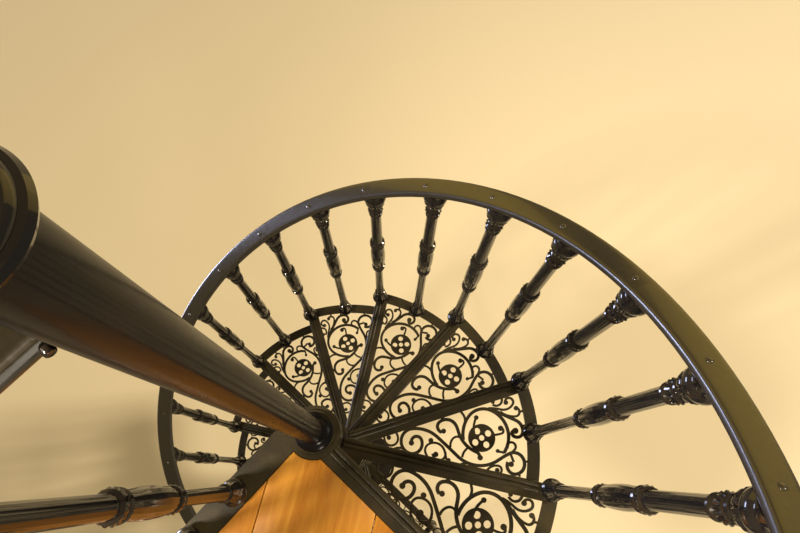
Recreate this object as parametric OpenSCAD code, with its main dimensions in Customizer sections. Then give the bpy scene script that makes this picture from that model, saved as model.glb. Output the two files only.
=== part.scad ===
/* [Stair] */
// Height of one rise
rise = 210; // [190:5:230]
// Outer radius of the treads
tread_r = 546; // [540:2:620]
// Distance of the balusters' circle from the treads' rim
baluster_inset = 21; // [18:1:30]
// Height of the handrail's underside over the line of the nosings
rail_height = 870; // [820:10:950]

/* [Column] */
// Outer radius of the column tube
column_r = 38; // [34:1:44]
// Wall of the column tube
column_wall = 5; // [4:0.5:8]
// Outer radius of the post that goes on above the landing
post_r = 23; // [21:1:28]
// Height of the post's top over the guard rail
post_over_guard = 129; // [80:1:160]
// Radius of the moulded cap on the post
cap_r = 33; // [29:1:38]
// Radius of the base plate
base_r = 165; // [150:5:200]
// Thickness of the base plate
base_t = 18; // [14:1:24]
// Diameter of the circle of base bolts
base_pcd = 270; // [250:5:290]
// Radius of a hole for a fixing bolt
fixing_hole_r = 7; // [5:0.5:9]

/* [Treads] */
// Thickness of a tread's plate
plate_t = 8; // [6:0.5:12]
// Thickness of the scrollwork
scroll_t = 6; // [5:0.5:8]
// How far the nosing stands in front of the riser line
nose = 12; // [8:1:16]
// How far a tread runs back under the nosing above it
underlap = 14; // [12:1:20]
// Width of the plain strip and the ridges behind the riser line
nosing_w = 27; // [22:1:34]
// Width of the plain outer border
border_w = 32; // [28:1:40]
// Depth of the nosing at the outer end
nosing_depth = 26; // [20:1:36]
// Depth of a tread at its hub
hub_depth = 60; // [50:5:90]
// Radius of a tread's hub
hub_r = 50; // [46:1:60]
// Thickness of the webs under a tread
web_t = 8; // [6:1:10]
// Radius of the tubes between the hubs
spacer_r = 45; // [42:1:50]

/* [Balusters and rail] */
// Radius of a baluster's shaft
shaft_r = 12; // [10:0.5:15]
// Radius of the swelling at a baluster's foot
foot_r = 26; // [22:1:30]
// Radius of a baluster's capital
capital_r = 25; // [22:1:30]
// Radius of the rod that ties a baluster through the treads
rod_r = 6; // [5:0.5:8]
// Radius of a sleeve between two treads
sleeve_r = 14; // [11:1:18]
// Width of the handrail
rail_w = 42; // [36:1:52]
// Thickness of the handrail
rail_t = 16; // [12:1:22]

/* [Landing] */
// Width of the beam that carries the guard
guard_beam_w = 54; // [46:2:64]
// Distance of the guard's line from the column's axis
guard_offset = 32; // [28:1:40]
// Width of the two beams that meet the floor
edge_beam_w = 40; // [32:2:50]
// Depth of the landing's beams
beam_depth = 60; // [50:5:90]
// Thickness of a floor board
board_t = 22; // [18:1:28]
// Width of a floor board
board_w = 220; // [110:1:240]
// Direction of the boards against the landing's front edge
board_angle = 61; // [50:1:75]
// Distance from the column's axis to the nearest joint of the boards on the guard's side
board_joint = 64; // [20:1:100]
// Gap between two boards
board_gap = 1.5; // [1:0.5:4]
// Height of the guard rail's underside over the landing
guard_height = 935; // [900:5:1000]

/* [Hidden] */
$fn = 48;
iron = "#1c1a18";
timber = "#b5702c";
// Twelve treads make one full turn
treads = 12;
step_angle = 360 / treads;
landing_z = (treads + 1) * rise;
baluster_circle_r = tread_r - baluster_inset;
// Clearance round the column and round the tie rods
fit_gap = 0.5;
rod_hole_r = rod_r + fit_gap;
column_top = landing_z + guard_height + post_over_guard;
pitch_per_degree = rise / step_angle;
// Slope of the handrail at the balusters
rail_slope = atan(pitch_per_degree * 180 / PI / baluster_circle_r);
rear_web_depth = nosing_depth - 8;
rim_depth = nosing_depth - 6;
boss_r = 17;
// How far a plate's edge stands out over the web below it
edge_lip = 1;
far = 2 * tread_r;

function polar(r, a) = [r * cos(a), r * sin(a)];
function turn(p, a) = [p[0] * cos(a) - p[1] * sin(a), p[0] * sin(a) + p[1] * cos(a)];
// Azimuth of a tread's nosing and height of its top, counted from the floor
function tread_angle(i) = (treads + 1 - i) * step_angle;
function tread_z(i) = i * rise;
// Height of the handrail's underside at an azimuth down from the landing
function rail_z(a) = landing_z + rail_height - a * pitch_per_degree;

module at_tread(i) {
  rotate([0, 0, tread_angle(i)])
    translate([0, 0, tread_z(i)])
      children();
}

// Outline of the space between two lines through the column, moved out by front and back
module wedge(front, back) {
  polygon([[0, front], [far, front], turn([far, -back], -step_angle), turn([0, -back], -step_angle)]);
}

module tread_outline() {
  intersection() {
    circle(tread_r, $fn = 180);
    wedge(nose, underlap);
  }
}

panel_outer_r = tread_r - border_w;
panel_back = underlap - web_t;

// The scrollwork is drawn for a field whose sides meet at this point and whose rim has this radius
pattern_apex = [34.7654, -27];
pattern_rim = 514;
// Where the field's sides meet as built, and how much larger than drawn the scrollwork is
panel_apex = [(nosing_w * cos(step_angle) - panel_back) / sin(step_angle), -nosing_w];
pattern_fit = (panel_outer_r - norm(panel_apex)) / (pattern_rim - norm(pattern_apex));
// Radius of the field's inner edge, widths of the broad and fine stems, and radius of the rosette
panel_inner_r = norm(panel_apex) + 55.98 * pattern_fit;
stem_w = 8.5 * pattern_fit;
fine_stem_w = 6 * pattern_fit;
ring_r = 36 * pattern_fit;

// Place on the tread of a point of the drawing
function fitted(p) = panel_apex + (p - pattern_apex) * pattern_fit;

// The pierced field of a tread
module panel(grow = 0) {
  difference() {
    intersection() {
      circle(panel_outer_r + grow, $fn = 180);
      wedge(grow - nosing_w, panel_back + grow);
    }
    circle(panel_inner_r - grow);
  }
}

// How far an arc of a stem runs on into the next one, and how much narrower every second arc is,
// so that no two sides lie on each other
arc_lap = 0.4;
arc_step = 0.06;

// A band along an arc, from the azimuth a0 round by turned
module arc_band(centre, r, a0, turned, w) {
  swept = turned + sign(turned) * arc_lap / r * 180 / PI;
  cuts = ceil(abs(swept) / 60);
  reach = (r + w) / cos(swept / cuts / 2);
  fineness = r > 60 ? 180 : 36;
  translate(centre)
    intersection() {
      difference() {
        circle(r + w / 2, $fn = fineness);
        circle(r - w / 2, $fn = fineness);
      }
      polygon([[0, 0], for (k = [0:cuts]) polar(reach, a0 + swept * k / cuts)]);
    }
}

// A stem of arcs that run on from one another: each has a radius and the angle it turns, leftwards if positive
module stem(at, heading, arcs, w) {
  if (len(arcs) > 0) {
    r = arcs[0][0] * pattern_fit;
    side = sign(arcs[0][1]);
    centre = at + polar(side * r, heading + 90);
    arc_band(centre, r, heading - side * 90, arcs[0][1], w - arc_step * (len(arcs) % 2));
    stem(centre + polar(r, heading - side * 90 + arcs[0][1]), heading + arcs[0][1],
      [for (k = [1:1:len(arcs) - 1]) arcs[k]], w);
  }
}

// The four broad stems: start, heading, then radius and turn of each arc
main_stems = [
  [[197, -63], 84, [[14, -172], [26, -133], [32, -148], [84, -50], [1340, -3], [88, 77], [247, -8], [27, -199], [20, -125]]],
  [[282, -61], 146, [[15, -122], [29, -111], [166, -5], [77, 53], [12, -60]]],
  [[331, -97], 81, [[79, -48], [51, -70], [71, -108]]],
  [[430, -45], -43, [[2000, 2], [29, -72], [16, -133], [7, -156]]],
];
// The finer stems, from the hub outwards
fine_stems = [
  [[133, -26], -104, [[60, 8], [18, 180], [34, 30]]],
  [[126, -79], 60, [[31, -100]]],
  [[160, -98], 75, [[16, -170], [200, -5]]],
  [[231.5, -141], 98, [[900, 2.6], [18, -87], [29, -105], [89, -14]]],
  [[275, -112], -95, [[17, -190]]],
  [[281, -169], 62, [[30, -100], [10, -170]]],
  [[292, -105], 82, [[26, -55], [16, -80]]],
  [[313, -138], 62, [[37, -45]]],
  [[352, -210], 85, [[30, -115], [10, -200]]],
  [[345, -62], 44, [[27, 68], [100, 5]]],
  [[363, -100], 90, [[65, -46]]],
  [[411, -109], -17, [[74, 18], [7, 155]]],
  [[423, -161], 140, [[40, 20]]],
  [[435, -167], 9, [[57, 18], [11, 252]]],
  [[438, -169], -90, [[300, 4]]],
  [[450, -58], -57, [[55, 46], [12, 161]]],
  [[423, -40], -15, [[117, -16], [31, 72], [11, 217]]],
  [[437, -34], -55, [[16, 127], [50, 6]]],
  [[402, -238], 50, [[26, -75], [12, -210]]],
  [[441, -217], -100, [[30, 22]]],
  [[490, -110], -10, [[200, 5]]],
  [[462, -196], -20, [[200, 4]]],
  [[497, -74], -2, [[200, 4]]],
];
// Centre and radius of each bud
buds = [
  [[144, -32], 6], [[197, -63], 7], [[248, -72.5], 6.5], [[249, -110], 7], [[276, -134], 6],
  [[288, -60], 6.5], [[296, -31], 6], [[313, -170], 5], [[358, -153], 7], [[390, -196], 6],
  [[383, -53], 6], [[436, -99], 7], [[408, -151], 5], [[430, -193], 7], [[471, -117], 8],
  [[494, -62], 6], [[473, -40], 6], [[440, -28], 5], [[422, -244.5], 5],
];
// The ringed rosette and the turn of its four petals
rosette_at = [379, -107];
rosette_turn = 16;

module rosette() {
  difference() {
    circle(ring_r);
    circle(ring_r * 0.2);
    for (k = [0:3])
      rotate(rosette_turn + k * 90)
        translate([ring_r * 0.58, 0])
          circle(ring_r * 0.23);
  }
}

module scrollwork() {
  for (s = main_stems)
    stem(fitted(s[0]), s[1], s[2], stem_w);
  for (s = fine_stems)
    stem(fitted(s[0]), s[1], s[2], fine_stem_w);
  for (b = buds)
    translate(fitted(b[0]))
      circle(b[1] * pattern_fit, $fn = 24);
  translate(fitted(rosette_at))
    rosette();
}

// Two round ridges run along the front of a nosing, from the hub to the baluster's foot
ridge_r = 7;
ridge_rise = 3;
ridge_pitch = 11.5;

module nosing_ridges() {
  for (k = [0:1])
    translate([hub_r - 4, nose - ridge_pitch / 2 - k * ridge_pitch, ridge_rise - ridge_r])
      rotate([0, 90, 0])
        cylinder(r = ridge_r, h = baluster_circle_r - foot_r - hub_r + 4, $fn = 48);
}

// A web along X under a plate, deep at the hub and shallow at the rim
module tapered_web(length, depth_in, depth_out) {
  rotate([90, 0, 0])
    linear_extrude(web_t)
      polygon([[0, -1], [length, -1], [length, -depth_out], [0, -depth_in]]);
}

module rim() {
  translate([0, 0, -rim_depth])
    linear_extrude(rim_depth)
      difference() {
        tread_outline();
        circle(tread_r - web_t, $fn = 180);
      }
}

module tread_body() {
  translate([0, 0, -plate_t])
    linear_extrude(plate_t)
      difference() {
        tread_outline();
        panel();
      }
  rim();
  translate([0, nose - edge_lip, 0])
    tapered_web(tread_r - web_t / 2, hub_depth, nosing_depth);
  rotate([0, 0, -step_angle])
    translate([0, web_t - underlap + edge_lip, 0])
      tapered_web(tread_r - web_t / 2, hub_depth, rear_web_depth);
  translate([0, 0, -hub_depth])
    cylinder(r = hub_r, h = hub_depth);
  translate([baluster_circle_r, 0, -nosing_depth])
    cylinder(r = boss_r, h = nosing_depth);
  rotate([0, 0, -step_angle])
    translate([baluster_circle_r, 0, -rear_web_depth])
      cylinder(r = boss_r, h = rear_web_depth);
}

module tread(i) {
  color(iron)
    at_tread(i)
      difference() {
        union() {
          tread_body();
          nosing_ridges();
          translate([0, 0, -1 - scroll_t])
            linear_extrude(scroll_t)
              intersection() {
                scrollwork();
                panel(3);
              }
        }
        translate([0, 0, -hub_depth - 1])
          cylinder(r = column_r + fit_gap, h = hub_depth + 10);
        for (a = [0, -step_angle / 2, -step_angle])
          rotate([0, 0, a])
            translate([baluster_circle_r, 0, -nosing_depth - 1])
              cylinder(r = rod_hole_r, h = nosing_depth + 10, $fn = 24);
      }
}

module base_plate() {
  color(iron)
    difference() {
      union() {
        cylinder(r = base_r, h = base_t - 4, $fn = 96);
        translate([0, 0, base_t - 4])
          cylinder(r1 = base_r, r2 = base_r - 6, h = 4, $fn = 96);
        translate([0, 0, base_t])
          cylinder(r1 = hub_r + 28, r2 = hub_r + 4, h = 24);
        cylinder(r = hub_r, h = rise - hub_depth);
      }
      translate([0, 0, base_t - 8])
        cylinder(r = column_r + fit_gap, h = rise);
      for (k = [0:3])
        rotate([0, 0, 45 + k * 90])
          translate([base_pcd / 2, 0, -1])
            cylinder(r = fixing_hole_r, h = base_t + 2, $fn = 24);
    }
}

// How far the column's shoulder stands over the landing
shoulder_over = 18;

// The tube up to the landing, its shoulder and the slimmer post above, as half of the section
module column() {
  foot_z = base_t - 8;
  shoulder_z = landing_z + shoulder_over;
  color(iron)
    rotate_extrude()
      polygon([[column_r - column_wall, foot_z], [column_r, foot_z], [column_r, shoulder_z - 4],
        [column_r - 3, shoulder_z], [post_r, shoulder_z + 6], [post_r, column_top],
        [post_r - column_wall, column_top], [post_r - column_wall, shoulder_z - 2],
        [column_r - column_wall, shoulder_z - 12]]);
}

// A turned bead, drawn as half of its section
module bead(z, r, t) {
  translate([0, z - t * 0.96])
    square([r - t, t * 1.92]);
  intersection() {
    translate([r - t, z])
      circle(t, $fn = 32);
    translate([0, z - t])
      square([r + 1, 2 * t]);
  }
}

// A turned stretch that tapers evenly
module taper(z0, r0, z1, r1) {
  polygon([[0, z0], [r0, z0], [r1, z1], [0, z1]]);
}

module column_cap() {
  color(iron)
    translate([0, 0, column_top])
      rotate_extrude() {
        taper(0, post_r + 1, 6, post_r + 1);
        bead(10, cap_r, 5);
        taper(14, cap_r - 4, 22, cap_r - 7);
        bead(24, cap_r - 7, 3);
        taper(26, cap_r - 12, 32, cap_r - 18);
        bead(33, cap_r - 18, 3);
        taper(35, 6, 38, 3);
      }
}

module hub_spacers() {
  color(iron)
    for (i = [1:treads])
      translate([0, 0, tread_z(i)])
        difference() {
          cylinder(r = spacer_r, h = rise - hub_depth);
          translate([0, 0, -1])
            cylinder(r = column_r + fit_gap, h = rise);
        }
}

module nosing_sleeves() {
  color(iron)
    for (i = [1:treads + 1])
      at_tread(i)
        translate([baluster_circle_r, 0, -rise])
          difference() {
            cylinder(r = sleeve_r, h = rise - nosing_depth);
            translate([0, 0, -1])
              cylinder(r = rod_hole_r, h = rise, $fn = 24);
          }
}

foot_h = 96;
knop_h = 225;
// Distance of the knop's lower end below the handrail
knop_drop = 525;
collar_drop = 118;

// Half of a baluster's turned section from its foot to the rail
module baluster_section(length, knop) {
  knop_top = knop + knop_h;
  collar = length - collar_drop;
  taper(0, shaft_r - 2, length + 20, shaft_r - 2);
  taper(0, 20, 8, 20);
  bead(20, foot_r, 13);
  taper(28, 22, foot_h - 10, 13);
  bead(foot_h - 6, 17, 5);
  taper(foot_h - 8, shaft_r + 1, knop + 10, shaft_r - 1);
  bead(knop + 10, 18, 7);
  bead(knop + 24, 20, 6);
  taper(knop + 28, 16, knop + knop_h / 2, 20);
  taper(knop + knop_h / 2, 20, knop_top - 28, 16);
  bead(knop_top - 24, 20, 6);
  bead(knop_top - 9, 21, 8);
  taper(knop_top - 6, shaft_r + 2, collar + 10, shaft_r + 1);
  bead(collar + 6, 16, 4);
  bead(collar + 26, 18, 13);
  bead(collar + 47, 16, 4);
  taper(collar + 45, shaft_r + 2, length - 38, shaft_r + 3);
  bead(length - 26, capital_r, 14);
  taper(length - 18, 17, length + 20, 17);
}

// A baluster whose top is cut to the slope of the rail it carries
module baluster(length, knop, slope, rod) {
  difference() {
    union() {
      rotate_extrude()
        baluster_section(length, knop);
      translate([0, 0, -rod])
        cylinder(r = rod_r, h = rod + 1, $fn = 24);
    }
    translate([0, 0, length])
      rotate([-slope, 0, 0])
        translate([-2 * foot_r, -2 * foot_r, 0])
          cube([4 * foot_r, 4 * foot_r, 4 * foot_r]);
  }
}

module balusters(i) {
  color(iron)
    at_tread(i) {
      if (i > 1)
        translate([baluster_circle_r, 0, 0])
          baluster(rail_height, rail_height - knop_drop, rail_slope, rise + rear_web_depth);
      rotate([0, 0, -step_angle / 2])
        translate([baluster_circle_r, 0, 0])
          baluster(rail_height + rise / 2, rail_height + rise / 2 - knop_drop, rail_slope, plate_t);
    }
}

// Section of the handrail: flat below, softly crowned above
rail_section = [for (p = [[-0.38, 0], [0.38, 0], [0.47, 0.12], [0.5, 0.35], [0.48, 0.62], [0.41, 0.82],
  [0.25, 0.94], [0, 1], [-0.25, 0.94], [-0.41, 0.82], [-0.48, 0.62], [-0.5, 0.35], [-0.47, 0.12]])
  [p[0] * rail_w, p[1] * rail_t]];
rail_step = 5;

// A point of the handrail's section at an azimuth, square to the helix
function rail_point(p, a) =
  let (r = baluster_circle_r + p[0], along = p[1] * sin(rail_slope))
    [r * cos(a) - along * sin(a), r * sin(a) + along * cos(a), rail_z(a) + p[1] * cos(rail_slope)];

module rail_length(a0, a1) {
  n = len(rail_section);
  rings = round((a1 - a0) / rail_step);
  points = [for (k = [0:rings]) for (p = rail_section) rail_point(p, a0 + (a1 - a0) * k / rings)];
  sides = [for (k = [0:rings - 1]) for (j = [0:n - 1])
    each [[k * n + j, (k + 1) * n + j, (k + 1) * n + (j + 1) % n],
      [k * n + j, (k + 1) * n + (j + 1) % n, k * n + (j + 1) % n]]];
  caps = [[for (j = [0:n - 1]) j], [for (j = [n - 1:-1:0]) rings * n + j]];
  polyhedron(points, concat(sides, caps), convexity = 4);
}

rail_lengths = 6;

module handrail(k) {
  color(iron)
    rail_length((k - 1) * 360 / rail_lengths, k * 360 / rail_lengths);
}

// Radius of a newel's shaft where a rail meets it
newel_neck_r = 19;

// Distance of a newel's upper collar below its neck
newel_collar_drop = 118;

// Half of a newel's turned section
module newel_section(height) {
  taper(0, 21, 10, 21);
  bead(22, foot_r + 4, 13);
  taper(30, 24, 90, 18);
  bead(92, 22, 6);
  taper(90, 18, height - newel_collar_drop, 17);
  bead(height / 2, 24, 10);
  bead(height - newel_collar_drop, 22, 7);
  taper(height - newel_collar_drop, 18, height - 20, newel_neck_r + 1);
  bead(height - 14, 28, 8);
  taper(height - 14, 14, height + 12, 12);
  translate([0, height + 36])
    intersection() {
      circle(28);
      translate([0, -50])
        square(100);
    }
}

module newel(height, rod) {
  rotate_extrude()
    newel_section(height);
  translate([0, 0, -rod])
    cylinder(r = rod_r, h = rod + 1, $fn = 24);
}

// How far a newel's neck stands over the rail's underside
newel_over = 40;
newel_height = rail_height + newel_over;

module start_newel() {
  color(iron)
    at_tread(1)
      translate([baluster_circle_r, 0, 0])
        newel(newel_height, rise);
}

module landing_newel() {
  color(iron)
    translate([baluster_circle_r, 0, landing_z])
      newel(newel_height, rise + rear_web_depth);
}

guard_end_y = -baluster_circle_r;

module guard_newel() {
  color(iron)
    translate([-guard_offset, guard_end_y, landing_z])
      newel(guard_height + newel_over, beam_depth);
}

landing_hub_r = 52;
shelf_w = 12;
shelf_t = 8;

// The opening for the boards, grown or shrunk all round
module board_opening(grow) {
  x0 = guard_beam_w / 2 - guard_offset;
  x1 = tread_r - edge_beam_w;
  difference() {
    translate([x0 - grow, -x1 - grow])
      square([x1 - x0 + 2 * grow, x1 - nosing_w + 2 * grow]);
    circle(landing_hub_r - grow);
  }
}

module landing_outline() {
  translate([-guard_offset - guard_beam_w / 2, -tread_r])
    square([tread_r + guard_offset + guard_beam_w / 2, tread_r]);
  translate([0, -1])
    square([tread_r, nose + 1]);
  circle(landing_hub_r);
}

fixing_pitch = 260;
fixing_centre = 290;
fixing_drop = 36;

module landing_frame() {
  color(iron)
    translate([0, 0, landing_z])
      difference() {
        union() {
          translate([0, 0, -plate_t])
            linear_extrude(plate_t)
              difference() {
                landing_outline();
                board_opening(0);
              }
          translate([0, 0, -board_t - shelf_t])
            linear_extrude(board_t + shelf_t)
              difference() {
                board_opening(web_t);
                board_opening(0);
              }
          translate([0, 0, -board_t - shelf_t])
            linear_extrude(shelf_t)
              difference() {
                board_opening(1);
                board_opening(-shelf_w);
              }
          translate([0, nose - edge_lip, 0])
            tapered_web(tread_r - 1, hub_depth, nosing_depth);
          nosing_ridges();
          translate([-guard_offset - guard_beam_w / 2, -tread_r, -beam_depth])
            cube([web_t, tread_r, beam_depth]);
          translate([-guard_offset - guard_beam_w / 2, -tread_r, -beam_depth])
            cube([tread_r + guard_offset + guard_beam_w / 2, web_t, beam_depth]);
          translate([tread_r - web_t, -tread_r, -beam_depth])
            cube([web_t, tread_r - 40, beam_depth]);
          translate([0, 0, -hub_depth])
            cylinder(r = landing_hub_r, h = hub_depth + 5);
          cylinder(r = column_r + 4, h = shoulder_over - 6);
          translate([baluster_circle_r, 0, -nosing_depth])
            cylinder(r = boss_r, h = nosing_depth);
          translate([-guard_offset, guard_end_y, -beam_depth])
            cylinder(r = boss_r, h = beam_depth);
        }
        translate([0, 0, -hub_depth - 1])
          cylinder(r = column_r + fit_gap, h = hub_depth + shoulder_over);
        translate([baluster_circle_r, 0, -nosing_depth - 1])
          cylinder(r = rod_hole_r, h = nosing_depth + 10, $fn = 24);
        translate([-guard_offset, guard_end_y, -beam_depth - 1])
          cylinder(r = rod_hole_r, h = beam_depth + 10, $fn = 24);
        for (k = [1:guard_baluster_count])
          translate([-guard_offset, guard_baluster_y(k), -plate_t - 1])
            cylinder(r = rod_hole_r, h = plate_t + 2, $fn = 24);
        for (s = [-1, 1]) {
          translate([tread_r - web_t - 1, -fixing_centre + s * fixing_pitch / 2, -fixing_drop])
            rotate([0, 90, 0])
              cylinder(r = fixing_hole_r, h = web_t + 2, $fn = 24);
          translate([fixing_centre + s * fixing_pitch / 2, -tread_r + web_t + 1, -fixing_drop])
            rotate([90, 0, 0])
              cylinder(r = fixing_hole_r, h = web_t + 2, $fn = 24);
        }
      }
}

module landing_boards() {
  span = 2 * tread_r;
  color(timber)
    translate([0, 0, landing_z - board_t])
      linear_extrude(board_t)
        intersection() {
          board_opening(-1);
          rotate(-board_angle)
            for (k = [-4:4])
              translate([-span, k * board_w - board_joint + board_gap / 2])
                square([2 * span, board_w - board_gap]);
        }
}

guard_baluster_count = 3;
guard_first_y = -181;
guard_pitch = (guard_end_y - guard_first_y) / guard_baluster_count;
function guard_baluster_y(k) = guard_first_y + (k - 1) * guard_pitch;

module guard_balusters() {
  color(iron)
    for (k = [1:guard_baluster_count])
      translate([-guard_offset, guard_baluster_y(k), landing_z])
        baluster(guard_height, rail_height - knop_drop, 0, plate_t);
}

// The guard's rail runs from beside the post, where its end is round, to the guard's newel
module guard_rail() {
  start_y = 1 - rail_w / 2;
  color(iron)
    translate([-guard_offset, 0, landing_z + guard_height])
      difference() {
        union() {
          translate([0, start_y, 0])
            rotate([90, 0, 0])
              linear_extrude(start_y - guard_end_y - newel_neck_r)
                polygon(rail_section);
          translate([0, start_y, 0])
            cylinder(r = rail_w / 2 - 1, h = rail_t - 2);
        }
        translate([guard_offset, 0, -1])
          cylinder(r = post_r + fit_gap, h = rail_t + 2);
      }
}

base_plate();
column();
column_cap();
hub_spacers();
nosing_sleeves();
tread(1);  // tread_01
tread(2);  // tread_02
tread(3);  // tread_03
tread(4);  // tread_04
tread(5);  // tread_05
tread(6);  // tread_06
tread(7);  // tread_07
tread(8);  // tread_08
tread(9);  // tread_09
tread(10);  // tread_10
tread(11);  // tread_11
tread(12);  // tread_12
balusters(1);  // balusters_01
balusters(2);  // balusters_02
balusters(3);  // balusters_03
balusters(4);  // balusters_04
balusters(5);  // balusters_05
balusters(6);  // balusters_06
balusters(7);  // balusters_07
balusters(8);  // balusters_08
balusters(9);  // balusters_09
balusters(10);  // balusters_10
balusters(11);  // balusters_11
balusters(12);  // balusters_12
handrail(1);  // handrail_1
handrail(2);  // handrail_2
handrail(3);  // handrail_3
handrail(4);  // handrail_4
handrail(5);  // handrail_5
handrail(6);  // handrail_6
start_newel();
landing_newel();
guard_newel();
landing_frame();
landing_boards();
guard_balusters();
guard_rail();
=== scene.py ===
# %% [markdown]
# # A cast-iron spiral staircase, seen from its landing
#
# The object is a full-turn spiral stair: twelve pierced treads round a tube column, turned
# balusters, a flat handrail that follows the helix, and a quarter landing with timber boards.
# The engineering model already has every piece at its real size. This lesson loads it, never
# moves it, and gives it what the engineering model leaves out: soft edges, cast ornament,
# screws, paint, wear, varnish and wood grain.

# %% Load the fixed frame
import bpy
import math
from mathutils import Matrix, Vector


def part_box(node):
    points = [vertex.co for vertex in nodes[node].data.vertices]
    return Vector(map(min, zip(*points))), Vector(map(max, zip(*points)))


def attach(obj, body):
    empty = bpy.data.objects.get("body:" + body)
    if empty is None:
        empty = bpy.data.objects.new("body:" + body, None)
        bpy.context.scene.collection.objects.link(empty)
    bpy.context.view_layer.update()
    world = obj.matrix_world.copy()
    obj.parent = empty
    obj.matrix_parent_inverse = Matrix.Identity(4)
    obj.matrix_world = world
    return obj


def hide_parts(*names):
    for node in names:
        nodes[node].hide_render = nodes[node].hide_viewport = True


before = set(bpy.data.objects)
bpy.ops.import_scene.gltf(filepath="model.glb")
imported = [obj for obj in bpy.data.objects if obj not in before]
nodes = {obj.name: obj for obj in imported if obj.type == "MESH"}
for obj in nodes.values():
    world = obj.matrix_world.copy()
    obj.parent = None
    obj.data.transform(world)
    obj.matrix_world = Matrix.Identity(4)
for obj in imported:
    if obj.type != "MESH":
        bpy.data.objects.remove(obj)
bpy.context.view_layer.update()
bpy.ops.object.select_all(action="DESELECT")

# %% [markdown]
# ## The sizes that the steps share
#
# Each length below is the real one in metres, as in the engineering model. The stair turns once
# in twelve treads, so a tread takes thirty degrees. Writing the pattern down once lets every
# screw and nut be placed by counting treads, as a fitter would do on site. Turned pieces are
# drawn in millimetres, as on a turner's sheet, and MM takes them to metres.

# %% Sizes of the stair
MM = 1000
RISE = 0.210
TREADS = 12
STEP = math.radians(30)
BALUSTER_R = 0.525
RAIL_OVER = 0.870
RAIL_T = 0.016
LANDING_Z = (TREADS + 1) * RISE
SLOPE = math.atan(RISE / (STEP * BALUSTER_R))


def rail_underside(azimuth):
    """Height of the handrail's underside at an azimuth counted down from the landing."""
    return LANDING_Z + RAIL_OVER - azimuth / STEP * RISE


print("landing at", LANDING_Z, "slope", round(math.degrees(SLOPE), 1))

# %% [markdown]
# ## The camera
#
# The photograph was taken from the landing with a wide lens, looking steeply down. The viewpoint
# was solved from the picture's own edges, so the camera is simply put there: its three axes are
# written as the columns of a matrix. It could also be aimed by a Track To constraint, but its
# roll about the line of sight would then have to be found by eye.

# %% Camera
EYE = (0.1645, 0.0438, 3.9950)
LOOK = (-0.20541, 0.24580, -0.94731)
UP = (-0.64319, 0.69565, 0.31996)

lens = bpy.data.cameras.new("camera")
lens.lens = 27.65
lens.sensor_width = 36.0
lens.clip_start = 0.02
camera = bpy.data.objects.new("camera", lens)
bpy.context.scene.collection.objects.link(camera)
look = Vector(LOOK).normalized()
side = look.cross(Vector(UP).normalized()).normalized()
axes = Matrix((side, side.cross(look), -look)).transposed().to_4x4()
camera.matrix_world = Matrix.Translation(EYE) @ axes
bpy.context.scene.camera = camera
print("camera at", [round(v, 3) for v in camera.location])

# %% [markdown]
# ## The floor
#
# A plain pale floor carries the stair and shows through the pierced treads. A curved backdrop
# would also do, but the view is a steep one, so a level plane fills the picture.

# %% Floor
FLOOR_WIDTH = 24

bpy.ops.mesh.primitive_plane_add(size=FLOOR_WIDTH, location=(0, 0, 0))
floor = bpy.context.object
floor.name = "studio_floor"
floor_paint = bpy.data.materials.new("studio_floor")
floor_paint.use_nodes = True
shader = floor_paint.node_tree.nodes["Principled BSDF"]
shader.inputs["Base Color"].default_value = (0.92, 0.80, 0.58, 1)
shader.inputs["Roughness"].default_value = 0.8
floor.data.materials.append(floor_paint)
print("floor:", round(floor.dimensions.x, 1), "m wide")

# %% [markdown]
# ## The light
#
# Gloss black paint shows little but what it reflects, so the light decides how the iron looks.
# A dim warm world gives an even fill. A wide warm panel hangs high over the stairwell and makes
# the floor pale. Two upright yellow panels stand beyond the stair: the sloping top of the
# handrail mirrors them, which turns its black paint olive on one side and leaves it dark on the
# other. A cool panel low on the far side draws the streak along the rail's edge, and two small
# ones near the landing make the capitals shine. The standard view keeps the colours as the
# finishes give them.

# %% Light
world = bpy.data.worlds.new("studio")
bpy.context.scene.world = world
world.use_nodes = True
fill = world.node_tree.nodes["Background"]
fill.inputs["Color"].default_value = (1.0, 0.84, 0.57, 1)
fill.inputs["Strength"].default_value = 0.30
bpy.context.scene.view_settings.view_transform = "Standard"


def panel_light(name, place, target, size, power, colour, spread):
    """A square soft light that faces a point, its spread in degrees."""
    data = bpy.data.lights.new(name, "AREA")
    data.shape = "SQUARE"
    data.size = size
    data.energy = power
    data.color = colour
    data.spread = math.radians(spread)
    lamp = bpy.data.objects.new(name, data)
    bpy.context.scene.collection.objects.link(lamp)
    lamp.location = place
    lamp.visible_camera = False
    lamp.rotation_euler = (Vector(target) - Vector(place)).to_track_quat("-Z", "Y").to_euler()


for lamp_facts in (
    ("over_stair", (8.0, 11.0, 18.0), (0.0, 0.0, 0.0), 2.4, 3050, (1.0, 0.86, 0.62), 180),
    ("back_right", (-0.5, 5.2, 3.6), (0.2, 0.4, 3.6), 4.2, 30, (1.0, 0.66, 0.12), 110),
    ("back_left", (-5.0, 1.9, 3.6), (-0.2, 0.4, 3.6), 3.6, 22, (1.0, 0.66, 0.10), 110),
    ("far_side", (-3.1, -0.95, 1.35), (-0.5, 0.1, 2.3), 1.1, 14, (0.62, 0.68, 1.0), 50),
    ("right_side", (2.2, -0.9, 3.6), (0.5, 0.1, 3.3), 0.5, 14, (1.0, 0.88, 0.70), 90),
    ("near_landing", (-0.6, -1.8, 5.0), (0.4, 0.2, 3.2), 0.4, 34, (1.0, 0.88, 0.70), 70),
):
    panel_light(*lamp_facts)

# %% [markdown]
# ## Node helpers
#
# A finish is a small network of nodes. The first helpers open a finish, add a node, set its
# plain values and join its sockets. A socket is named by its label, or by its number where two
# share a label.

# %% Node helpers


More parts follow.
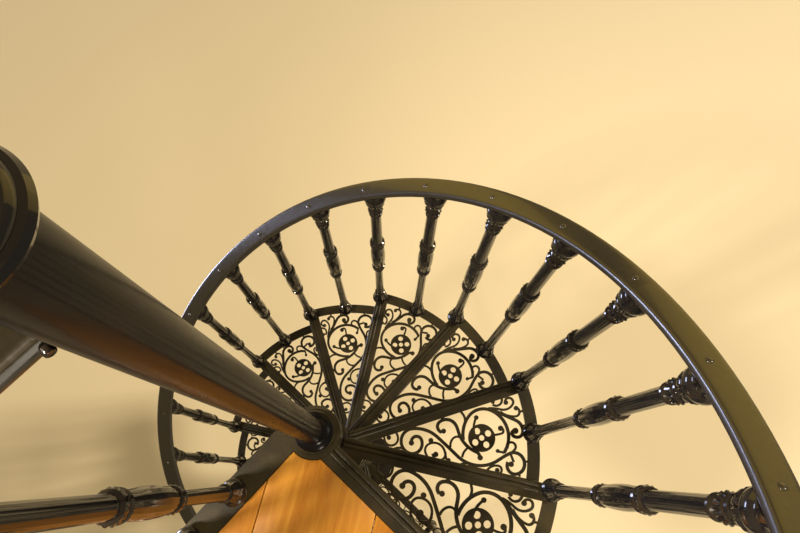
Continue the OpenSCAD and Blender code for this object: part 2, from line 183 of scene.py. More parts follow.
def new_finish(name):
    """An empty finish, its nodes, its main shader, and the shaded point on the object."""
    finish = bpy.data.materials.new(name)
    finish.use_nodes = True
    tree = finish.node_tree
    place = tree.nodes.new("ShaderNodeTexCoord").outputs["Object"]
    return finish, tree, tree.nodes["Principled BSDF"], place


def socket_of(node, key):
    """An input by its label, or by its number where the key is an i and a number."""
    if key[0] == "i" and key[1:].isdigit():
        return node.inputs[int(key[1:])]
    return node.inputs[key.replace("_", " ")]


def add_node(tree, kind, settings=None, **inputs):
    """A node with its settings, its plain values and its linked inputs."""
    node = tree.nodes.new(kind)
    for key, value in (settings or {}).items():
        setattr(node, key, value)
    for key, value in inputs.items():
        socket = socket_of(node, key)
        if isinstance(value, bpy.types.NodeSocket):
            tree.links.new(value, socket)
        else:
            socket.default_value = value
    return node


def add_ramp(tree, source, *stops):
    """A colour ramp over a value: each stop is a position and a colour."""
    node = tree.nodes.new("ShaderNodeValToRGB")
    tree.links.new(source, node.inputs["Fac"])
    while len(node.color_ramp.elements) < len(stops):
        node.color_ramp.elements.new(0.5)
    for element, (position, colour) in zip(node.color_ramp.elements, stops):
        element.position = position
        element.color = (*colour, 1)
    return node.outputs["Color"]


# %% [markdown]
# ## Pattern helpers
#
# Paint and wood are told apart by a few patterns: a soft noise at some scale, how far a surface
# faces up, and a bump. These helpers make each with one call, so that a finish below reads as a
# short list of what it does to the surface. Plain values go straight to the shader's sockets.

# %% Pattern helpers


def noise(tree, place, scale, detail, distortion=0.0):
    """A soft random pattern, its scale in lumps to the metre."""
    return add_node(tree, "ShaderNodeTexNoise", Vector=place, Scale=scale, Detail=detail,
                    Distortion=distortion).outputs["Fac"]


def rescale(tree, value, start, end, low=0.0, high=1.0):
    """A value between start and end, drawn out to run from low to high."""
    return add_node(tree, "ShaderNodeMapRange", Value=value, From_Min=start, From_Max=end,
                    To_Min=low, To_Max=high).outputs["Result"]


def compute(tree, operation, *values):
    """One step of arithmetic."""
    numbered = {f"i{i}": value for i, value in enumerate(values)}
    return add_node(tree, "ShaderNodeMath", {"operation": operation}, **numbered).outputs["Value"]


def facing_up(tree, start, end):
    """How far the surface faces up: 0 at the start and 1 at the end."""
    normal = tree.nodes.new("ShaderNodeNewGeometry").outputs["Normal"]
    parts = add_node(tree, "ShaderNodeSeparateXYZ", Vector=normal)
    return rescale(tree, parts.outputs["Z"], start, end)


def relief(tree, height, strength, distance):
    """The bump of a pattern, its depth in metres."""
    return add_node(tree, "ShaderNodeBump", Height=height, Strength=strength,
                    Distance=distance).outputs["Normal"]


def dress(tree, shader, colour, gloss, normal, **plain):
    """Join the patterns to the shader and set its plain values."""
    tree.links.new(colour, shader.inputs["Base Color"])
    tree.links.new(gloss, shader.inputs["Roughness"])
    tree.links.new(normal, shader.inputs["Normal"])
    for key, value in plain.items():
        socket_of(shader, key).default_value = value
    print("finish with", len(tree.nodes), "nodes:", plain)


# %% [markdown]
# ## Gloss black paint on cast iron
#
# The balusters were painted many times. Each coat softened the casting, and the paint has tiny
# waves and specks of dust. Two fine noises give the waves through a bump, and a larger noise
# changes how glossy the paint is, because hands and dust dull it in places. Brown dust gathers
# where the surface faces up.

# %% Black paint
black_paint, tree, shader, place = new_finish("black_paint")
cloud = noise(tree, place, 11.0, 5.0)
dust = compute(tree, "MULTIPLY", facing_up(tree, 0.1, 0.9), cloud)
lumps = noise(tree, place, 60.0, 1.0)
peel = noise(tree, place, 240.0, 2.0)
dress(tree, shader,
      add_ramp(tree, dust, (0.1, (0.004, 0.004, 0.005)), (0.7, (0.020, 0.014, 0.008))),
      rescale(tree, cloud, 0.0, 1.0, 0.10, 0.30),
      relief(tree, compute(tree, "MULTIPLY_ADD", lumps, 2.0, peel), 0.30, 0.0002),
      Specular_IOR_Level=0.08, Coat_Weight=0.5, Coat_Roughness=0.05)

# %% [markdown]
# ## Softer paint on the column
#
# The column and its post are plain tubes that hands and clothes brush past, so their paint is
# less glossy than the balusters'. It has the same waves, but longer ones, and its mirror is
# blurred, which is why the boards show on it only as a long orange glow.

# %% Column paint
column_paint, tree, shader, place = new_finish("column_paint")
cloud = noise(tree, place, 8.0, 6.0)
waves = noise(tree, place, 45.0, 2.0)
dress(tree, shader,
      add_ramp(tree, cloud, (0.35, (0.003, 0.003, 0.004)), (0.75, (0.009, 0.006, 0.005))),
      rescale(tree, cloud, 0.3, 0.7, 0.24, 0.36),
      relief(tree, waves, 0.20, 0.0004),
      Specular_IOR_Level=0.04, Coat_Weight=0.14, Coat_Roughness=0.16)

# %% [markdown]
# ## Worn paint and a painted sheen on the handrail
#
# Hands have rubbed the flat top of the rail for years. The black has thinned to a warm dark brown
# there, with a slow change of tone and small dull spots, and this brown is also a painted
# reflection of the warm light that the top mirrors. The worn and painted top is told from the
# sides by which way the surface faces. A thin clear coat gives the hard edge of the reflections,
# and the olive colour comes from the light that the rail mirrors.

# %% Rail paint
rail_paint, tree, shader, place = new_finish("rail_paint")
cloud = noise(tree, place, 6.0, 4.0)
fine = noise(tree, place, 150.0, 3.0)
tone = rescale(tree, cloud, 0.3, 0.7, 0.75, 1.0)
# Painted sheen: whatever faces up turns a warm brown, partly wear and partly a painted reflection
# of warm light.
worn_and_painted_sheen = compute(tree, "MULTIPLY", facing_up(tree, 0.35, 0.88), tone)
dress(tree, shader,
      add_ramp(tree, worn_and_painted_sheen, (0.05, (0.005, 0.004, 0.004)), (0.7, (0.012, 0.008, 0.001)),
               (1.0, (0.018, 0.012, 0.002))),
      rescale(tree, fine, 0.3, 0.7, 0.30, 0.42),
      relief(tree, fine, 0.25, 0.0003),
      Specular_IOR_Level=0.5, Coat_Weight=0.25, Coat_Roughness=0.08)

# %% [markdown]
# ## Satin paint on the treads
#
# The treads are walked on. Their paint is duller than the balusters', and whatever faces up is
# painted a lighter, uneven brown: partly wear and partly a painted sheen of the warm light that
# the tops reflect.

# %% Tread paint
tread_paint, tree, shader, place = new_finish("tread_paint")
cloud = noise(tree, place, 24.0, 6.0)
grit = noise(tree, place, 300.0, 3.0)
# Painted sheen: the up-facing tops are drawn toward brown, partly wear and partly painted light.
worn_and_painted_sheen = compute(tree, "MULTIPLY", facing_up(tree, 0.2, 0.95), cloud)
dress(tree, shader,
      add_ramp(tree, worn_and_painted_sheen, (0.1, (0.006, 0.005, 0.004)), (0.7, (0.032, 0.023, 0.008))),
      rescale(tree, grit, 0.3, 0.7, 0.26, 0.46),
      relief(tree, grit, 0.25, 0.0003),
      Specular_IOR_Level=0.26)

# %% [markdown]
# ## Varnished pine
#
# The boards run at sixty-one degrees to the landing's edge. The grain is made in the boards' own
# directions: the point is turned first, then squeezed along the board, so that the noise becomes
# long streaks. Each board has its own shade, found from which strip the point lies in. The old
# varnish is deep orange, and a little darker where dirt lies in the fibres.

# %% Pine
BOARD_W = 0.220
BOARD_JOINT = 0.064
BOARD_TURN = math.radians(61)


def mapped(tree, vector, **how):
    """A pattern's point after it is turned or scaled."""
    return add_node(tree, "ShaderNodeMapping", {"vector_type": "POINT"}, Vector=vector,
                    **how).outputs["Vector"]


def tinted(tree, amount, colour, tint):
    """A colour multiplied by a tint, as far as the amount says."""
    return add_node(tree, "ShaderNodeMix", {"data_type": "RGBA", "blend_type": "MULTIPLY"},
                    i0=amount, i6=colour, i7=tint).outputs[2]


pine, tree, shader, place = new_finish("varnished_pine")
along = mapped(tree, place, Rotation=(0, 0, BOARD_TURN))
across = add_node(tree, "ShaderNodeSeparateXYZ", Vector=along).outputs["Y"]
strip = compute(tree, "DIVIDE", compute(tree, "ADD", across, BOARD_JOINT), BOARD_W)
shade = add_node(tree, "ShaderNodeTexWhiteNoise", {"noise_dimensions": "1D"},
                 W=compute(tree, "FLOOR", strip))
shift = add_node(tree, "ShaderNodeVectorMath", {"operation": "SCALE"},
                 i0=shade.outputs["Color"], Scale=3.0).outputs["Vector"]
moved = add_node(tree, "ShaderNodeVectorMath", {"operation": "ADD"},
                 i0=along, i1=shift).outputs["Vector"]
grain = noise(tree, mapped(tree, moved, Scale=(0.9, 9.0, 9.0)), 5.0, 5.0, distortion=0.8)
fibres = noise(tree, mapped(tree, moved, Scale=(5.0, 200.0, 200.0)), 3.0, 3.0)
wood = add_ramp(tree, grain, (0.3, (0.37, 0.138, 0.011)), (0.5, (0.44, 0.188, 0.016)),
                (0.7, (0.52, 0.245, 0.027)))
board_tint = add_ramp(tree, shade.outputs["Value"],
                      (0.0, (0.80, 0.72, 0.62)), (1.0, (1.0, 1.0, 1.0)))
streak = add_ramp(tree, fibres, (0.35, (0.84, 0.78, 0.70)), (0.6, (1.0, 1.0, 1.0)))
dress(tree, shader,
      tinted(tree, 0.5, tinted(tree, 1.0, wood, board_tint), streak),
      rescale(tree, grain, 0.0, 1.0, 0.22, 0.36),
      relief(tree, fibres, 0.12, 0.0003),
      Coat_Weight=0.4, Coat_Roughness=0.15)

# %% [markdown]
# ## Modelling helpers
#
# Every new piece below is made the way a person would make it in the viewport: a primitive is
# added, shaped in edit mode, and finished. These helpers open a piece, select points by their
# place, and write a piece's place into its mesh, because a finished piece sits at the origin
# exactly as the engineering pieces do.

# %% Modelling helpers


def select_only(piece):
    """Select one piece alone and make it the active one."""
    bpy.ops.object.select_all(action="DESELECT")
    piece.select_set(True)
    bpy.context.view_layer.objects.active = piece


def edit(piece):
    """Open a piece in edit mode with vertex selection and nothing selected."""
    select_only(piece)
    bpy.ops.object.mode_set(mode="EDIT")
    bpy.ops.mesh.select_mode(type="VERT")
    bpy.ops.mesh.select_all(action="DESELECT")


def close():
    """Leave edit mode."""
    bpy.ops.object.mode_set(mode="OBJECT")


def pick(piece, wanted):
    """Select the points whose place passes a test, with the edges and faces between them."""
    close()
    points = piece.data.vertices
    for point in points:
        point.select = wanted(point.co)
    for edge in piece.data.edges:
        edge.select = all(points[i].select for i in edge.vertices)
    for face in piece.data.polygons:
        face.select = all(points[i].select for i in face.vertices)
    bpy.ops.object.mode_set(mode="EDIT")


def settle():
    """Write the selected piece's place, turn and scale into its mesh."""
    bpy.ops.object.transform_apply(location=True, rotation=True, scale=True)


# %% [markdown]
# ## Copying, joining and handing over
#
# What repeats is modelled once. Its copies are moved out from the column, turned about it and
# lifted, each with its own mesh. A finished piece is given its name, its finish and the body it
# rides on, and the engineering pieces that it stands for are hidden.

# %% Handing over


def duplicate(master):
    """A copy of a master with its own mesh."""
    select_only(master)
    bpy.ops.object.duplicate(linked=False)
    return bpy.context.object


def set_in_place(master, azimuth, radius, height):
    """A copy of a master, moved out, turned about the column and lifted."""
    copy = duplicate(master)
    copy.location = (radius * math.cos(azimuth), radius * math.sin(azimuth), height)
    copy.rotation_euler = (0, 0, azimuth)
    settle()
    return copy


def join(parts):
    """One object out of several."""
    bpy.ops.object.select_all(action="DESELECT")
    for part in parts:
        part.select_set(True)
    bpy.context.view_layer.objects.active = parts[0]
    bpy.ops.object.join()
    return bpy.context.object


def hand_over(piece, name, finish, slot, *node_names, smooth=40):
    """Name a finished piece, give it its finish and let it stand for its engineering nodes."""
    select_only(piece)
    piece.name = piece.data.name = name
    bpy.ops.object.shade_smooth_by_angle(angle=math.radians(smooth))
    piece.data.materials.clear()
    piece.data.materials.append(finish)
    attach(piece, "root")
    if node_names:
        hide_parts(*node_names)
    bpy.ops.object.select_all(action="DESELECT")
    return piece


# %% [markdown]
# ## Turned shapes
#
# A baluster was turned in wood, and the iron one was cast from it, so its shape is a row of
# circles up an axis. A disc is added at the foot, then its face is extruded up and scaled to the
# next radius, again and again. A bead is five such steps round a half circle.

# %% Turning
SIDES = 48


def bead(height, radius, half):
    """The steps of a round bead."""
    shoulder = radius - 0.3 * half
    return [(height - half, radius - half), (height - 0.72 * half, shoulder), (height, radius),
            (height + 0.72 * half, shoulder), (height + half, radius - half)]


def turn_up(steps, sides=SIDES):
    """A turned solid from its steps, each a height and a radius in millimetres."""
    height, radius = steps[0]
    bpy.ops.mesh.primitive_circle_add(vertices=sides, radius=radius / MM, fill_type="NGON",
                                      location=(0, 0, height / MM))
    piece = bpy.context.object
    settle()
    bpy.ops.object.mode_set(mode="EDIT")
    bpy.ops.mesh.select_mode(type="FACE")
    bpy.ops.mesh.select_all(action="SELECT")
    for next_height, next_radius in steps[1:]:
        lift = (0, 0, (next_height - height) / MM)
        bpy.ops.mesh.extrude_region_move(TRANSFORM_OT_translate={"value": lift})
        grown = next_radius / radius
        bpy.ops.transform.resize(value=(grown, grown, 1),
                                 center_override=(0, 0, next_height / MM))
        height, radius = next_height, next_radius
    bpy.ops.mesh.select_all(action="SELECT")
    bpy.ops.mesh.normals_make_consistent(inside=False)
    close()
    return piece


def row_of(place):
    """Which of the upright rows of points a point belongs to."""
    return round(math.degrees(math.atan2(place.y, place.x)) / (360 / SIDES)) % SIDES


def carve(piece, low, high, scale, every=3, kept=(0,)):
    """Scale chosen rows of points between two heights in millimetres, in or out from the axis."""
    pick(piece, lambda p: low < p.z * MM < high and row_of(p) % every in kept)
    bpy.ops.transform.resize(value=(scale, scale, 1), center_override=(0, 0, 0))


# %% [markdown]
# ## The balusters
#
# Each baluster has an onion foot, a fluted shaft, a barrel between two rings, a second fluted
# length, a ringed collar and a wide capital under the rail. The flutes and the beaded rings are
# made by drawing every third row of points in, and the leaves of the capital by drawing in every
# fourth, which is how the pattern reads at this size. The top is bisected at the slope of the
# rail, so that it meets the rail's underside all round. The corner balusters are short, those in
# mid tread half a rise longer, and the landing's guard has level ones, so there are three
# masters.

# %% One baluster
KNOP_H = 225
KNOP_DROP = 525
COLLAR_DROP = 118
CORNER_LENGTH = 870
MIDDLE_LENGTH = 975
GUARD_LENGTH = 935


def baluster_shaft(knop, top, collar):
    """The steps from the foot through the barrel to the top of the upper fluted length."""
    foot = [(0, 19.5), (1.5, 20.5), (6, 20.5), (8, 18.5), (10, 19), (13, 23), (17, 25.4),
            (21, 26), (25, 25.2), (29, 22.5), (33, 20.5), (42, 19.6), (58, 17.2), (74, 14),
            (84, 12.6)] + bead(90, 17, 5) + [(97, 13.2), (101, 13), (103, 13)]
    lower = [(knop - 8, 11), (knop - 5, 11.4), (knop + 2, 12)]
    lower += bead(knop + 10, 18, 6.5) + bead(knop + 24, 20, 6)
    barrel = [(knop + 31, 16), (knop + 35, 16.4), (knop + 55, 18.4), (knop + 84, 19.8),
              (knop + 112, 20.2), (knop + 140, 19.8), (knop + 170, 18.2), (top - 34, 16.2),
              (top - 31, 15.8)]
    upper = bead(top - 24, 20, 5.5) + bead(top - 9, 21, 8)
    upper += [(top + 1, 14.4), (top + 5, 14), (top + 7, 14), (collar - 6, 13), (collar - 3, 13)]
    return foot + lower + barrel + upper


def baluster_head(collar, length):
    """The steps of the ringed collar and of the capital, which runs on past the rail."""
    rings = bead(collar + 4, 16, 3.6) + [(collar + 9, 14)] + bead(collar + 26, 18.5, 11)
    rings += [(collar + 39, 14)] + bead(collar + 46, 16, 3.6) + [(collar + 52, 14.4)]
    bell = [(60, 14.8), (57, 16), (55, 18.6), (51, 21.2), (46, 22.8), (41, 23.2), (37, 22.4),
            (34.5, 20.4), (33, 21.4), (30, 24.2), (26, 25.6), (17, 25.6), (13, 24.2),
            (10, 21.4), (8, 20.4), (4, 21), (-14, 21)]
    return rings + [(length - drop, radius) for drop, radius in bell]


def make_baluster(length, knop, slope):
    """A baluster from its foot at height zero to the rail's underside, in millimetres."""
    top = knop + KNOP_H
    collar = length - COLLAR_DROP
    piece = turn_up(baluster_shaft(knop, top, collar) + baluster_head(collar, length))
    edit(piece)
    carve(piece, 102, knop - 6.5, 0.93)
    carve(piece, top + 6, collar - 4.5, 0.94)
    carve(piece, knop + 33, top - 32.5, 0.955)
    for ring in (knop + 24, top - 9):
        carve(piece, ring - 3, ring + 3, 0.90)
    carve(piece, collar + 17, collar + 35, 0.90)
    carve(piece, length - 54, length - 36, 0.86, every=4)
    carve(piece, 31, 80, 0.93, every=6, kept=(0, 1, 5))
    bpy.ops.mesh.select_all(action="SELECT")
    bpy.ops.mesh.bisect(plane_co=(0, 0, length / MM),
                        plane_no=(0, math.sin(slope), math.cos(slope)),
                        use_fill=True, clear_outer=True)
    close()
    return piece


corner_one = make_baluster(CORNER_LENGTH, CORNER_LENGTH - KNOP_DROP, SLOPE)
middle_one = make_baluster(MIDDLE_LENGTH, MIDDLE_LENGTH - KNOP_DROP, SLOPE)
guard_one = make_baluster(GUARD_LENGTH, CORNER_LENGTH - KNOP_DROP, 0.0)
print("points in a baluster:", len(corner_one.data.vertices))

# %% [markdown]
# ## The nut under a baluster
#
# A mid-tread baluster is held by a nut under the plate, and a corner one by a long rod through
# the sleeve with a nut at its foot. A six-sided disc is bevelled, and the rod's end is inset and
# drawn out below it.

# %% A nut
NUT_R = 0.0115
NUT_T = 0.009
NUT_BEVEL = 0.0008
NUT_END = -0.0085
ROD_INSET = 0.0035
ROD_END = 0.005

bpy.ops.mesh.primitive_cylinder_add(vertices=6, radius=NUT_R, depth=NUT_T,
                                    location=(0, 0, -NUT_T / 2))
nut = bpy.context.object
settle()
edit(nut)
bpy.ops.mesh.select_mode(type="FACE")
bpy.ops.mesh.select_all(action="SELECT")
bpy.ops.mesh.bevel(offset=NUT_BEVEL, segments=2, affect="EDGES")
pick(nut, lambda p: p.z < NUT_END)
bpy.ops.mesh.inset(thickness=ROD_INSET)
bpy.ops.mesh.extrude_region_move(TRANSFORM_OT_translate={"value": (0, 0, -ROD_END)})
close()
print("faces in a nut:", len(nut.data.polygons))

# %% [markdown]
# ## Setting the balusters out
#
# Each tread has a baluster in its middle and one at its corner, with their nuts. The lowest tread
# has no corner baluster, because the newel stands there.

# %% Balusters in their places
NUT_UNDER_PLATE = 0.008
NUT_UNDER_SLEEVE = 0.018

for i in range(1, TREADS + 1):
    corner = (TREADS + 1 - i) * STEP
    middle = corner - STEP / 2
    parts = [set_in_place(middle_one, middle, BALUSTER_R, i * RISE),
             set_in_place(nut, middle, BALUSTER_R, i * RISE - NUT_UNDER_PLATE)]
    if i > 1:
        parts.append(set_in_place(corner_one, corner, BALUSTER_R, i * RISE))
        parts.append(set_in_place(nut, corner, BALUSTER_R, (i - 1) * RISE - NUT_UNDER_SLEEVE))
    name = f"balusters_{i:02d}"
    hand_over(join(parts), "turned_" + name, black_paint, "black_iron", name)
print("balusters stand on", TREADS, "treads")

# %% [markdown]
# ## The landing's guard
#
# Three balusters and a newel stand along the landing's left beam, a little to one side of the
# column's axis. They are set out along the axis first and then moved over together.

# %% Guard balusters
GUARD_X = -0.032
GUARD_FIRST = 0.181
GUARD_GAPS = 3

parts = []
for k in range(GUARD_GAPS):
    out = GUARD_FIRST + k * (BALUSTER_R - GUARD_FIRST) / GUARD_GAPS
    copy = set_in_place(guard_one, -math.pi / 2, out, LANDING_Z)
    copy.location.x = GUARD_X
    parts.append(copy)
guard_set = join(parts)
settle()
hand_over(guard_set, "turned_guard_balusters", black_paint, "black_iron", "guard_balusters")
for master in (corner_one, middle_one, guard_one, nut):
    bpy.data.objects.remove(master)
print("guard balusters:", len(parts))

# %% [markdown]
# ## The handrail
#
# The rail is a flat bar with a soft crown, rolled to the helix. Its section starts as a plane:
# the corners are bevelled, the top edge is divided and its middle is lifted with a proportional
# move, so that the crown is even. The section is then tilted square to the helix and moved out
# to the balusters' circle.

# %% Rail section
RAIL_W = 0.042
CROWN = 0.002
CROWN_REACH = 0.0215
CORNER_R = 0.0045
TOP_EDGE = 0.0069


def near_top(point):
    """Whether a point of the flat section lies on its top edge."""
    return point.y > TOP_EDGE


def rail_section(tilt):
    """The rail's section standing at the balusters' circle, square to the rail's run."""
    bpy.ops.mesh.primitive_plane_add(size=1)
    piece = bpy.context.object
    edit(piece)
    bpy.ops.mesh.select_all(action="SELECT")
    bpy.ops.transform.resize(value=(RAIL_W, RAIL_T - CROWN, 1))
    bpy.ops.mesh.bevel(offset=CORNER_R, segments=4, affect="VERTICES")
    pick(piece, near_top)
    bpy.ops.mesh.subdivide(number_cuts=7)
    pick(piece, lambda p: near_top(p) and abs(p.x) < 0.001)
    bpy.ops.transform.translate(value=(0, CROWN, 0), use_proportional_edit=True,
                                proportional_edit_falloff="SPHERE",
                                proportional_size=CROWN_REACH,
                                use_proportional_connected=False)
    bpy.ops.mesh.select_all(action="SELECT")
    bpy.ops.mesh.delete(type="ONLY_FACE")
    bpy.ops.mesh.select_all(action="SELECT")
    bpy.ops.transform.translate(value=(0, (RAIL_T - CROWN) / 2, 0))
    bpy.ops.transform.rotate(value=-(math.pi / 2 - tilt), orient_axis="X",
                             orient_type="GLOBAL", center_override=(0, 0, 0))
    bpy.ops.transform.translate(value=(BALUSTER_R, 0, 0))
    close()
    return piece


section = rail_section(SLOPE)
print("points in the section:", len(section.data.vertices))

# %% [markdown]
# ## Sweeping the six lengths
#
# The screw modifier turns the section about the column's axis and lowers it at the same time.
# Its open ends are then filled, so that each length is a closed bar. Each of the six lengths is
# one sixth of a turn and falls two rises.

# %% Handrail lengths
LENGTHS = 6
LENGTH_STEPS = 24
LENGTH_TURN = 2 * STEP
LENGTH_FALL = 2 * RISE


def sweep_rail(k):
    """One sixth of the handrail, counted down from the landing."""
    piece = duplicate(section)
    bpy.ops.object.modifier_add(type="SCREW")
    sweep = piece.modifiers[-1]
    sweep.axis = "Z"
    sweep.angle = LENGTH_TURN
    sweep.screw_offset = -LENGTH_FALL
    sweep.steps = sweep.render_steps = LENGTH_STEPS
    bpy.ops.object.modifier_apply(modifier=sweep.name)
    edit(piece)
    bpy.ops.mesh.select_all(action="SELECT")
    bpy.ops.mesh.fill_holes(sides=0)
    bpy.ops.mesh.normals_make_consistent(inside=False)
    close()
    piece.location = (0, 0, rail_underside((k - 1) * LENGTH_TURN))
    piece.rotation_euler = (0, 0, (k - 1) * LENGTH_TURN)
    settle()
    return piece


for k in range(1, LENGTHS + 1):
    node_name = f"handrail_{k}"
    rail = hand_over(sweep_rail(k), f"crowned_rail_{k}", rail_paint, "rail_iron", node_name,
                     smooth=50)
    low, high = (Vector(corner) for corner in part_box(node_name))
    print(rail.name, "is off its box by",
          [round(v, 4) for v in low - Vector(rail.bound_box[0])],
          [round(v, 4) for v in high - Vector(rail.bound_box[6])])
bpy.data.objects.remove(section)

# %% [markdown]
# ## The screws in the rail
#
# A small round-headed screw comes down through the rail just below each baluster's head. The
# head is half a sphere, bisected, flattened and tilted to the rail's slope. It sinks a little
# into the rail's crown.

# %% Rail screws
SCREW_AFTER = math.radians(2.6)
SCREW_R = 0.0052
SCREW_FLAT = 0.5
SUNK = 0.0006

bpy.ops.mesh.primitive_uv_sphere_add(segments=16, ring_count=8, radius=SCREW_R)
screw = bpy.context.object
edit(screw)
bpy.ops.mesh.select_all(action="SELECT")
bpy.ops.mesh.bisect(plane_co=(0, 0, 0), plane_no=(0, 0, 1), use_fill=True, clear_inner=True)
bpy.ops.mesh.select_all(action="SELECT")
bpy.ops.transform.resize(value=(1, 1, SCREW_FLAT), center_override=(0, 0, 0))
bpy.ops.transform.rotate(value=SLOPE, orient_axis="X", orient_type="GLOBAL",
                         center_override=(0, 0, 0))
close()
heads = []
for n in range(2 * TREADS):
    azimuth = n * STEP / 2 + SCREW_AFTER
    height = rail_underside(azimuth) + (RAIL_T - SUNK) / math.cos(SLOPE)
    heads.append(set_in_place(screw, azimuth, BALUSTER_R, height))
bpy.data.objects.remove(screw)
hand_over(join(heads), "rail_screws", rail_paint, "rail_iron")
print("screws:", len(heads))

# %% [markdown]
# ## The set screw beside the post
#
# The guard's rail is held to the post by a round-headed set screw in its side, close to the post.
# A short cylinder is bevelled round, and its outer face is inset and pushed in for a shallow
# dish.

# %% Set screw
GUARD_RAIL_SIDE = GUARD_X + 0.0205
GUARD_RAIL_OVER = 0.943
KNOB_R = 0.0038
KNOB_T = 0.005
KNOB_ROUND = 0.0013
KNOB_RIM = 0.004
KNOB_FACE = 0.0049
DISH_IN = 0.0009
DISH_DEEP = 0.0006
KNOB_Y = -0.032

bpy.ops.mesh.primitive_cylinder_add(vertices=24, radius=KNOB_R, depth=KNOB_T,
                                    location=(0, 0, KNOB_T / 2))
knob = bpy.context.object
settle()
edit(knob)
pick(knob, lambda p: p.z > KNOB_RIM)
bpy.ops.mesh.bevel(offset=KNOB_ROUND, segments=4, affect="EDGES")
pick(knob, lambda p: p.z > KNOB_FACE)
bpy.ops.mesh.inset(thickness=DISH_IN)
bpy.ops.transform.translate(value=(0, 0, -DISH_DEEP))
close()
knob.rotation_euler = (0, math.pi / 2, 0)
knob.location = (GUARD_RAIL_SIDE, KNOB_Y, LANDING_Z + GUARD_RAIL_OVER)
select_only(knob)
settle()
hand_over(knob, "guard_set_screw", black_paint, "black_iron")
print("set screw reaches", [round(v, 4) for v in knob.bound_box[6]])

# %% [markdown]
# ## The column, its post and its cap
#
# The column is a plain tube up to the landing. Over the landing it shoulders in to a slimmer
# post with a moulded cap. They are turned with more sides than the balusters, because the post
# stands close to the eye and its outline must stay round.

# %% Column and cap
POST_SIDES = 96
COLUMN_FOOT = 10
COLUMN_R = 38
POST_R = 23
POST_OVER_GUARD = 129
SHOULDER = MM * LANDING_Z + 18
POST_TOP = MM * LANDING_Z + GUARD_LENGTH + POST_OVER_GUARD

shoulder_steps = [(-6, COLUMN_R), (-4, 37.8), (-1.5, 36.6), (0, 34.6), (3, 29), (5, 24.6),
                  (7.5, POST_R), (12, POST_R)]
column_steps = [(COLUMN_FOOT, COLUMN_R)]
column_steps += [(SHOULDER + height, radius) for height, radius in shoulder_steps]
column_steps += [(POST_TOP, POST_R)]
column = turn_up(column_steps, sides=POST_SIDES)
hand_over(column, "turned_column", column_paint, "black_iron", "column")

cap_steps = [(0, 24), (3, 24.6), (5, 26)] + bead(10, 33, 5)
cap_steps += [(15.5, 29), (19, 28), (21, 26.4), (21.6, 24)] + bead(24, 26, 3)[1:]
cap_steps += [(26.4, 21), (29, 18), (31, 14.5)] + bead(33, 15, 3)[2:]
cap_steps += [(36, 7), (37.4, 3.4), (38, 1.5)]
cap = turn_up([(height + POST_TOP, radius) for height, radius in cap_steps], sides=POST_SIDES)
hand_over(cap, "turned_column_cap", black_paint, "black_iron", "column_cap")
print("cap reaches", round(cap.bound_box[6][2], 4))

# %% [markdown]
# ## The newels
#
# The posts at the rail's ends are heavier turnings with a ball on top. They are made as the
# balusters are, with flutes on the shaft and a beaded ring in the middle.

# %% Newels
NEWEL_OVER_RAIL = 40


def newel_steps(height, middle, collar):
    """The steps of a newel from its foot to its ball."""
    foot = [(0, 20.5), (2, 21.5), (7, 21.5), (9, 19.5), (12, 24), (17, 28.6), (22, 30), (27, 29),
            (32, 26), (37, 23.6), (55, 21.4), (84, 18)] + bead(92, 22, 5.5)
    shaft = [(99, 18), (103, 18), (105, 18), (middle - 20, 17.4), (middle - 16, 18.4)]
    shaft += bead(middle, 24, 9) + [(middle + 11, 18.4), (middle + 20, 17.4)]
    head = [(collar - 14, 17), (collar - 10, 17.4)] + bead(collar, 22, 7)
    head += [(collar + 10, 18), (height - 24, 19.6)] + bead(height - 14, 28, 8)
    ball = [(-4, 15), (6, 12.6), (9.5, 14), (14, 19.4), (22, 25), (29, 27.4), (36, 28),
            (43, 27.2), (51, 24), (58, 18.4), (62.5, 10), (63.8, 3)]
    return foot + shaft + head + [(height + up, radius) for up, radius in ball]


def make_newel(height):
    """A newel in millimetres, its height that of the ball's underside."""
    middle = height / 2
    collar = height - COLLAR_DROP
    piece = turn_up(newel_steps(height, middle, collar))
    edit(piece)
    carve(piece, 104, middle - 18, 0.86)
    carve(piece, middle + 15, collar - 12, 0.86)
    carve(piece, middle - 4, middle + 4, 0.93)
    carve(piece, 34, 88, 0.95, every=6, kept=(0, 1, 5))
    close()
    return piece


stair_newel = make_newel(CORNER_LENGTH + NEWEL_OVER_RAIL)
guard_newel = make_newel(GUARD_LENGTH + NEWEL_OVER_RAIL)
start_post = set_in_place(stair_newel, TREADS * STEP, BALUSTER_R, RISE)
hand_over(start_post, "turned_start_newel", black_paint, "black_iron", "start_newel")
landing_post = set_in_place(stair_newel, 0.0, BALUSTER_R, LANDING_Z)
hand_over(landing_post, "turned_landing_newel", black_paint, "black_iron", "landing_newel")
guard_post = set_in_place(guard_newel, -math.pi / 2, BALUSTER_R, LANDING_Z)
guard_post.location.x = GUARD_X
settle()
hand_over(guard_post, "turned_guard_newel", black_paint, "black_iron", "guard_newel")
for master in (stair_newel, guard_newel):
    bpy.data.objects.remove(master)
print("points in a newel:", len(guard_post.data.vertices))

# %% [markdown]
# ## Softened castings
#
# The base plate, the tubes between the hubs, the sleeves and the guard's rail keep their
# engineering shape, but a casting has no knife edges. A copy of each mesh is merged by distance,
# its flat faces are dissolved back to whole ones, and a small bevel rounds its sharp edges
# before it stands for the original.

# %% Softened copies


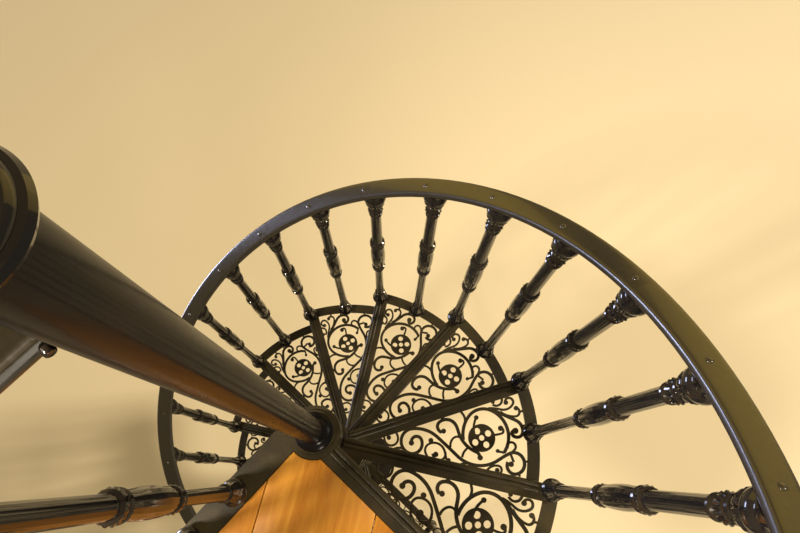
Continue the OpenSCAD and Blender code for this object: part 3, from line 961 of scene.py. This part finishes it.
def soften(node_name, round_off, segments=2):
    """A merged copy of an engineering piece with its sharp edges rounded."""
    mesh = nodes[node_name].data.copy()
    piece = bpy.data.objects.new(node_name + "_soft", mesh)
    bpy.context.scene.collection.objects.link(piece)
    edit(piece)
    bpy.ops.mesh.select_all(action="SELECT")
    bpy.ops.mesh.remove_doubles(threshold=0.00001)
    bpy.ops.mesh.dissolve_limited(angle_limit=math.radians(1.0))
    close()
    bpy.ops.object.modifier_add(type="BEVEL")
    bevel = piece.modifiers[-1]
    bevel.width = round_off
    bevel.segments = segments
    bevel.limit_method = "ANGLE"
    bevel.angle_limit = math.radians(40)
    bevel.harden_normals = False
    bpy.ops.object.modifier_apply(modifier=bevel.name)
    return piece


for node_name, round_off, finish, slot in (
    ("base_plate", 0.0015, black_paint, "black_iron"),
    ("hub_spacers", 0.001, black_paint, "black_iron"),
    ("nosing_sleeves", 0.0008, black_paint, "black_iron"),
    ("guard_rail", 0.001, rail_paint, "rail_iron"),
):
    soft = hand_over(soften(node_name, round_off), "soft_" + node_name, finish, slot, node_name)
    print(soft.name, "faces:", len(soft.data.polygons))

# %% [markdown]
# ## The boards
#
# Floor boards are sawn, planed and varnished, and feet wear their edges round. Each board gets a
# wider bevel than the iron.

# %% Boards
boards = soften("landing_boards", 0.0016, segments=3)
hand_over(boards, "planed_boards", pine, "floor_boards", "landing_boards")
print("boards faces:", len(boards.data.polygons))

# %% [markdown]
# ## Paint on the engineering pieces
#
# Each node keeps its mesh and gets a finish in its material slots, by what the piece is. The
# treads and the landing's frame are seen as they are, and the others stand behind new pieces.

# %% Finishes by node


def finish_of(node_name):
    """Which finish a piece has on the real stair."""
    if node_name.startswith("tread") or node_name == "landing_frame":
        return tread_paint
    if node_name.startswith("handrail") or node_name == "guard_rail":
        return rail_paint
    if node_name == "landing_boards":
        return pine
    return black_paint


for node_name, node_object in nodes.items():
    for material_slot in node_object.material_slots:
        material_slot.material = finish_of(node_name)
print("painted", len(nodes), "nodes")
